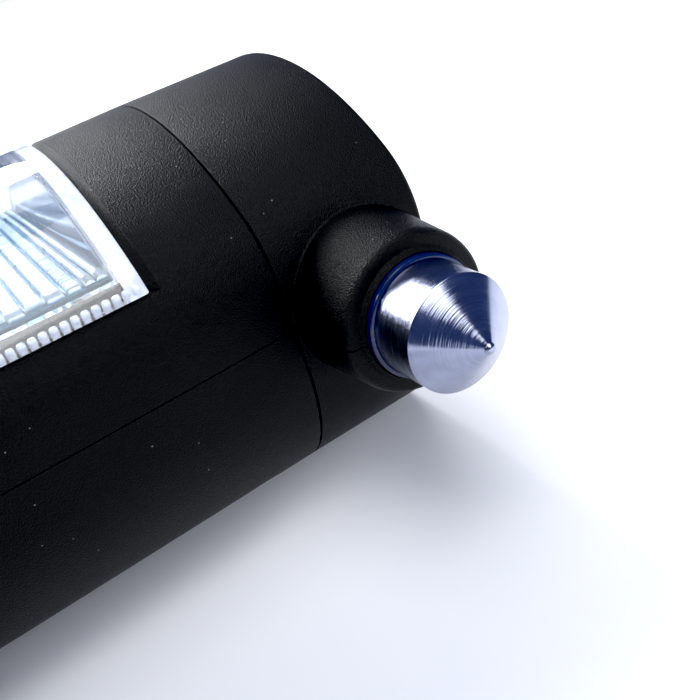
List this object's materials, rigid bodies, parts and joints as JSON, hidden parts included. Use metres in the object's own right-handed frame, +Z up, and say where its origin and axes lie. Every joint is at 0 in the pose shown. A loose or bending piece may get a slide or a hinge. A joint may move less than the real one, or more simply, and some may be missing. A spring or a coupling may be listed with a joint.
{
  "type": "car emergency tool with tread gauge",
  "caption": "Black plastic emergency hand tool with a steel glass-breaker point on its head, a lamp under a clear side lens, a tail torch, a belt cutter and a sliding tread gauge.",
  "frame": {"origin": "on the flat underside, on the centre line, 40 mm behind the seam between handle and head, where the grip begins", "axes": "+X along the handle towards the head, +Z up through the lamp lens, -Y along the steel point"},
  "size_m": [0.1885, 0.0582, 0.0349],
  "materials": {
    "black_shell": "fine satin grain, black",
    "turned_steel": "lathe-turned and polished",
    "plain_steel": "ground",
    "navy_collar": "gloss, dark blue",
    "grey_plastic": "satin, dark grey",
    "clear_lens": "clear, polished",
    "silvered_reflector": "silvered plastic, pressed with small prisms",
    "circuit_board": "green solder mask",
    "led_epoxy": "clear to pale yellow",
    "cell_wrap": "plain grey sleeve",
    "contact_metal": "nickel plated",
    "scale_strip": "white with black graduations"
  },
  "bodies": {
    "tool": {"body_shell_upper": "black_shell", "body_shell_lower": "black_shell", "head_shell_upper": "black_shell", "head_shell_lower": "black_shell", "hammer_point": "turned_steel", "point_cross_pin": "plain_steel", "door_hinge_pin": "plain_steel", "belt_blade": "plain_steel", "body_screw_1": "plain_steel", "body_screw_2": "plain_steel", "body_screw_3": "plain_steel", "body_screw_4": "plain_steel", "body_screw_5": "plain_steel", "body_screw_6": "plain_steel", "head_screw_1": "plain_steel", "head_screw_2": "plain_steel", "point_collar": "navy_collar", "torch_bezel": "grey_plastic", "side_lens": "clear_lens", "torch_lens": "clear_lens", "reflector_tray": "silvered_reflector", "torch_reflector": "silvered_reflector", "lamp_board": "circuit_board", "control_board": "circuit_board", "torch_board": "circuit_board", "lamp_led_1": "led_epoxy", "lamp_led_2": "led_epoxy", "lamp_led_3": "led_epoxy", "lamp_led_4": "led_epoxy", "lamp_led_5": "led_epoxy", "lamp_led_6": "led_epoxy", "torch_led": "led_epoxy", "switch_unit": "grey_plastic", "battery_cradle": "grey_plastic", "battery_cell_1": "cell_wrap", "battery_cell_2": "cell_wrap", "battery_cell_3": "cell_wrap", "contact_spring_1": "contact_metal", "contact_spring_2": "contact_metal", "contact_spring_3": "contact_metal", "contact_plate_1": "contact_metal", "contact_plate_2": "contact_metal", "contact_plate_3": "contact_metal", "gauge_scale": "scale_strip"},
    "switch": {"switch_thumb": "grey_plastic"},
    "door": {"battery_door": "black_shell"},
    "gauge": {"gauge_probe": "plain_steel", "gauge_thumb": "grey_plastic"}
  },
  "joints": [
    {"name": "switch_slide", "type": "slide", "parent": "tool", "child": "switch", "axis": [1, 0, 0], "range_m": [0, 0.006]},
    {"name": "door_hinge", "type": "hinge", "parent": "tool", "child": "door", "pos_m": [-0.043, 0.0195, 0.0116], "axis": [1, 0, 0], "range_deg": [0, 95]},
    {"name": "gauge_slide", "type": "slide", "parent": "tool", "child": "gauge", "axis": [1, 0, 0], "range_m": [0, 0.016]}
  ]
}
